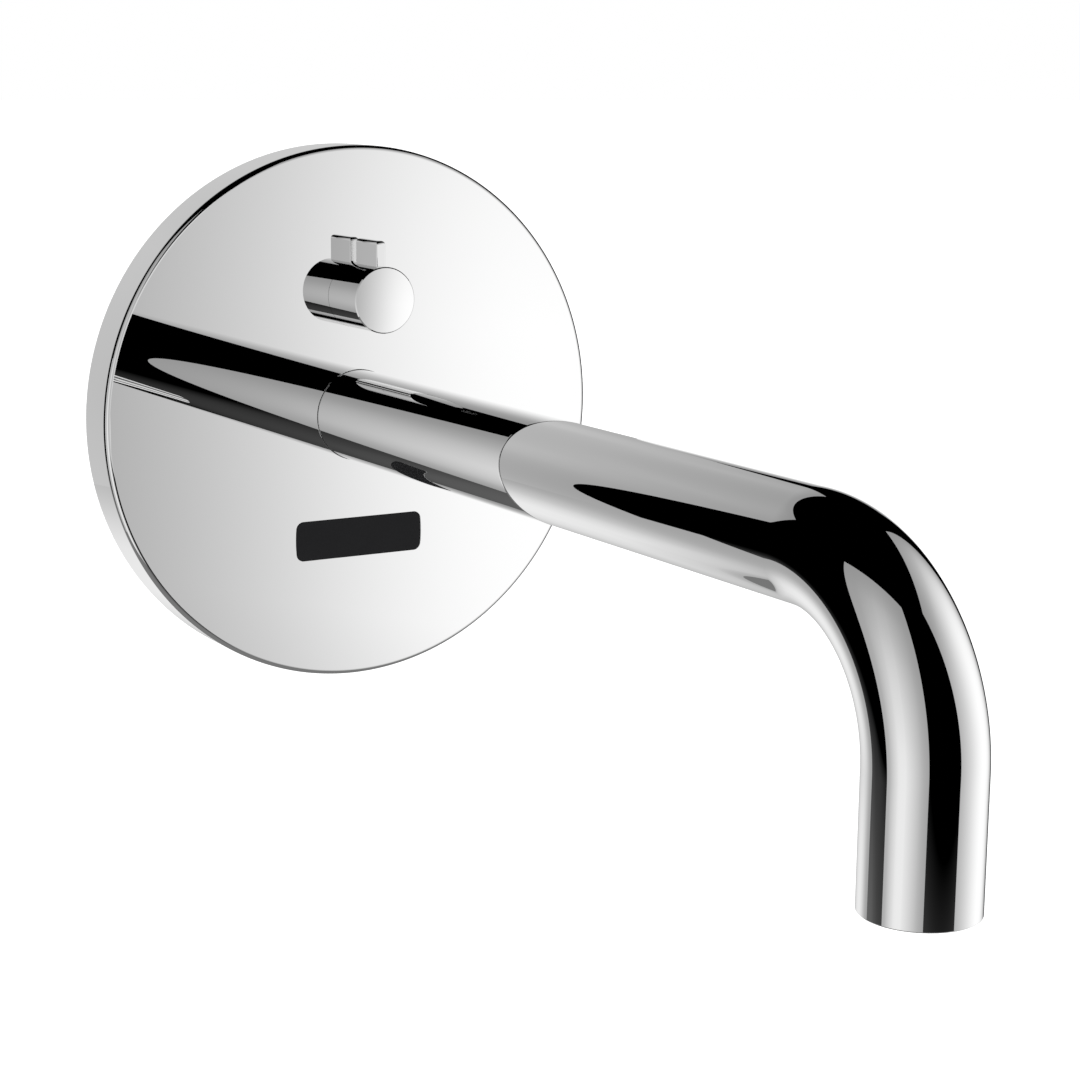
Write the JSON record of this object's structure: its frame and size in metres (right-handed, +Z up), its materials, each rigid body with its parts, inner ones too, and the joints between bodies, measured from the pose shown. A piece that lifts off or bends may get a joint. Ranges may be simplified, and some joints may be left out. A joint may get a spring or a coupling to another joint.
{
  "type": "electronic wall basin tap",
  "caption": "Wall mounted basin tap with a round plate, long bent spout, turning temperature knob and infrared sensor window, with mixing and solenoid valves behind the plate.",
  "frame": {"origin": "spout axis where it meets the wall, which is also the middle of the wall hole circle", "axes": "+Z up, +Y into the wall, so the spout stands out along -Y; +X to the right as a user sees it"},
  "size_m": [0.165, 0.3575, 0.165],
  "materials": {
    "polished_chrome": "mirror polished plating on brass",
    "cast_brass": "cast and machined",
    "stainless_steel": "drawn and turned",
    "black_rubber": "moulded, matt",
    "grey_nylon": "glass filled moulding, fine texture",
    "black_nylon": "glass filled moulding, fine texture",
    "white_acetal": "smooth moulding",
    "red_acetal": "smooth moulding",
    "infrared_acrylic": "dark moulded window, satin face",
    "clear_epoxy": "cast lens",
    "dark_epoxy": "cast lens",
    "green_laminate": "solder mask on glass laminate",
    "battery_sleeve": "shrunk film"
  },
  "bodies": {
    "tap_body": {"aerator_housing": "white_acetal", "aerator_screen": "white_acetal", "aerator_seal": "black_rubber", "battery_cell": "battery_sleeve", "battery_contacts": "stainless_steel", "battery_lid": "black_nylon", "battery_tray": "black_nylon", "body_screws": "stainless_steel", "cartridge_gland_nut": "cast_brass", "cartridge_housing": "white_acetal", "cartridge_seal": "black_rubber", "clip_screws": "stainless_steel", "coil_clip": "stainless_steel", "cold_check_cage": "white_acetal", "cold_check_spring": "stainless_steel", "cold_strainer": "stainless_steel", "control_module": "black_nylon", "cover_screws": "stainless_steel", "electronics_screws": "stainless_steel", "escutcheon_plate": "polished_chrome", "flow_regulator": "white_acetal", "hot_check_cage": "white_acetal", "hot_check_spring": "stainless_steel", "hot_strainer": "stainless_steel", "infrared_emitter": "clear_epoxy", "infrared_receiver": "dark_epoxy", "lead_headers": "white_acetal", "lock_screw": "stainless_steel", "mounting_carrier": "grey_nylon", "outlet_bush": "cast_brass", "plate_clips": "stainless_steel", "plate_seal": "black_rubber", "plug_seals": "black_rubber", "plunger_spring": "stainless_steel", "sensor_board": "green_laminate", "sensor_gasket": "black_rubber", "sensor_housing": "black_nylon", "sensor_window": "infrared_acrylic", "service_plugs": "cast_brass", "solenoid_coil": "black_nylon", "solenoid_cover": "black_nylon", "solenoid_diaphragm": "black_rubber", "spout_nipple": "cast_brass", "spout_rings": "black_rubber", "spout_tube": "polished_chrome", "temperature_stop_ring": "red_acetal", "valve_body": "cast_brass"},
    "temperature_control": {"temperature_knob": "polished_chrome", "temperature_tab": "polished_chrome", "knob_hub": "black_nylon", "knob_screw": "stainless_steel", "cartridge_spindle": "cast_brass", "mixing_rotor": "white_acetal"},
    "armature": {"solenoid_plunger": "stainless_steel"},
    "hot_poppet": {"hot_check_poppet": "white_acetal"},
    "cold_poppet": {"cold_check_poppet": "white_acetal"}
  },
  "joints": [
    {"name": "temperature_turn", "type": "hinge", "parent": "tap_body", "child": "temperature_control", "pos_m": [0, -0.026, 0.037], "axis": [0, 1, 0], "range_deg": [-60, 60]},
    {"name": "armature_lift", "type": "slide", "parent": "tap_body", "child": "armature", "axis": [0, -1, 0], "range_m": [0, 0.0015], "stiffness_N_per_m": 250, "springref_m": -0.003, "deforming": ["plunger_spring"]},
    {"name": "hot_check_lift", "type": "slide", "parent": "tap_body", "child": "hot_poppet", "axis": [0, -1, 0], "range_m": [0, 0.003], "stiffness_N_per_m": 100, "springref_m": -0.004, "deforming": ["hot_check_spring"]},
    {"name": "cold_check_lift", "type": "slide", "parent": "tap_body", "child": "cold_poppet", "axis": [0, -1, 0], "range_m": [0, 0.003], "stiffness_N_per_m": 100, "springref_m": -0.004, "deforming": ["cold_check_spring"]}
  ]
}
